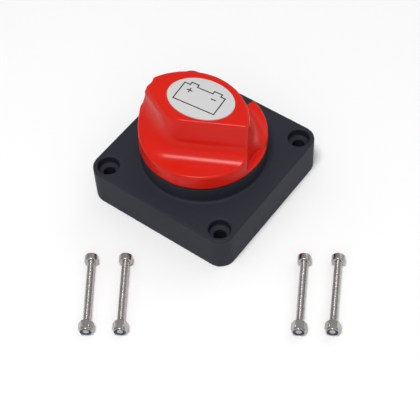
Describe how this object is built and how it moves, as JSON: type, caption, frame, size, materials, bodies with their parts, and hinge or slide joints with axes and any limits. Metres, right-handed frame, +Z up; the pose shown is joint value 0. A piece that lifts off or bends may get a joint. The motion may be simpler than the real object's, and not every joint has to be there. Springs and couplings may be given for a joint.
{
  "type": "rotary battery isolator switch",
  "caption": "Square-based rotary battery isolator with a red ridged knob, terminal studs underneath and loose mounting bolts.",
  "frame": {"origin": "centre of the housing's underside, on the panel it is bolted to", "axes": "+Z up along the knob's axis, +X from the left stud to the right stud, +Y towards the knob's slotted side"},
  "size_m": [0.1223, 0.1247, 0.0503],
  "materials": {
    "black_nylon": "fine moulded texture",
    "red_plastic": "gloss",
    "label": "satin printed film",
    "steel": "bright zinc or stainless",
    "brown_phenolic": "moulded",
    "rubber": "matte",
    "copper": "bare copper",
    "silver_contact": "silver plated",
    "tinned_brass": "turned",
    "nylon_insert": "dark blue nylon"
  },
  "bodies": {
    "housing": {"base_housing": "black_nylon", "fixed_contact_tips": "silver_contact", "left_terminal_stud": "tinned_brass", "right_terminal_stud": "tinned_brass", "contact_carrier": "black_nylon", "carrier_gasket": "rubber", "carrier_screws": "steel", "flat_washers": "steel", "spring_washers": "steel", "terminal_nuts": "steel", "mounting_bolts": "steel", "lock_nuts": "steel", "lock_nut_inserts": "nylon_insert"},
    "knob_assembly": {"knob": "red_plastic", "label_disc": "label", "knob_screw": "steel", "knob_washer": "steel", "rotor": "brown_phenolic", "rotor_o_ring": "rubber", "detent_balls": "steel", "detent_springs": "steel", "contact_bridge": "copper", "bridge_contact_tips": "silver_contact", "contact_spring": "steel"}
  },
  "joints": [
    {"name": "knob_turn", "type": "hinge", "parent": "housing", "child": "knob_assembly", "pos_m": [0, 0, 0.0255], "axis": [0, 0, 1], "range_deg": [-90, 0]}
  ]
}
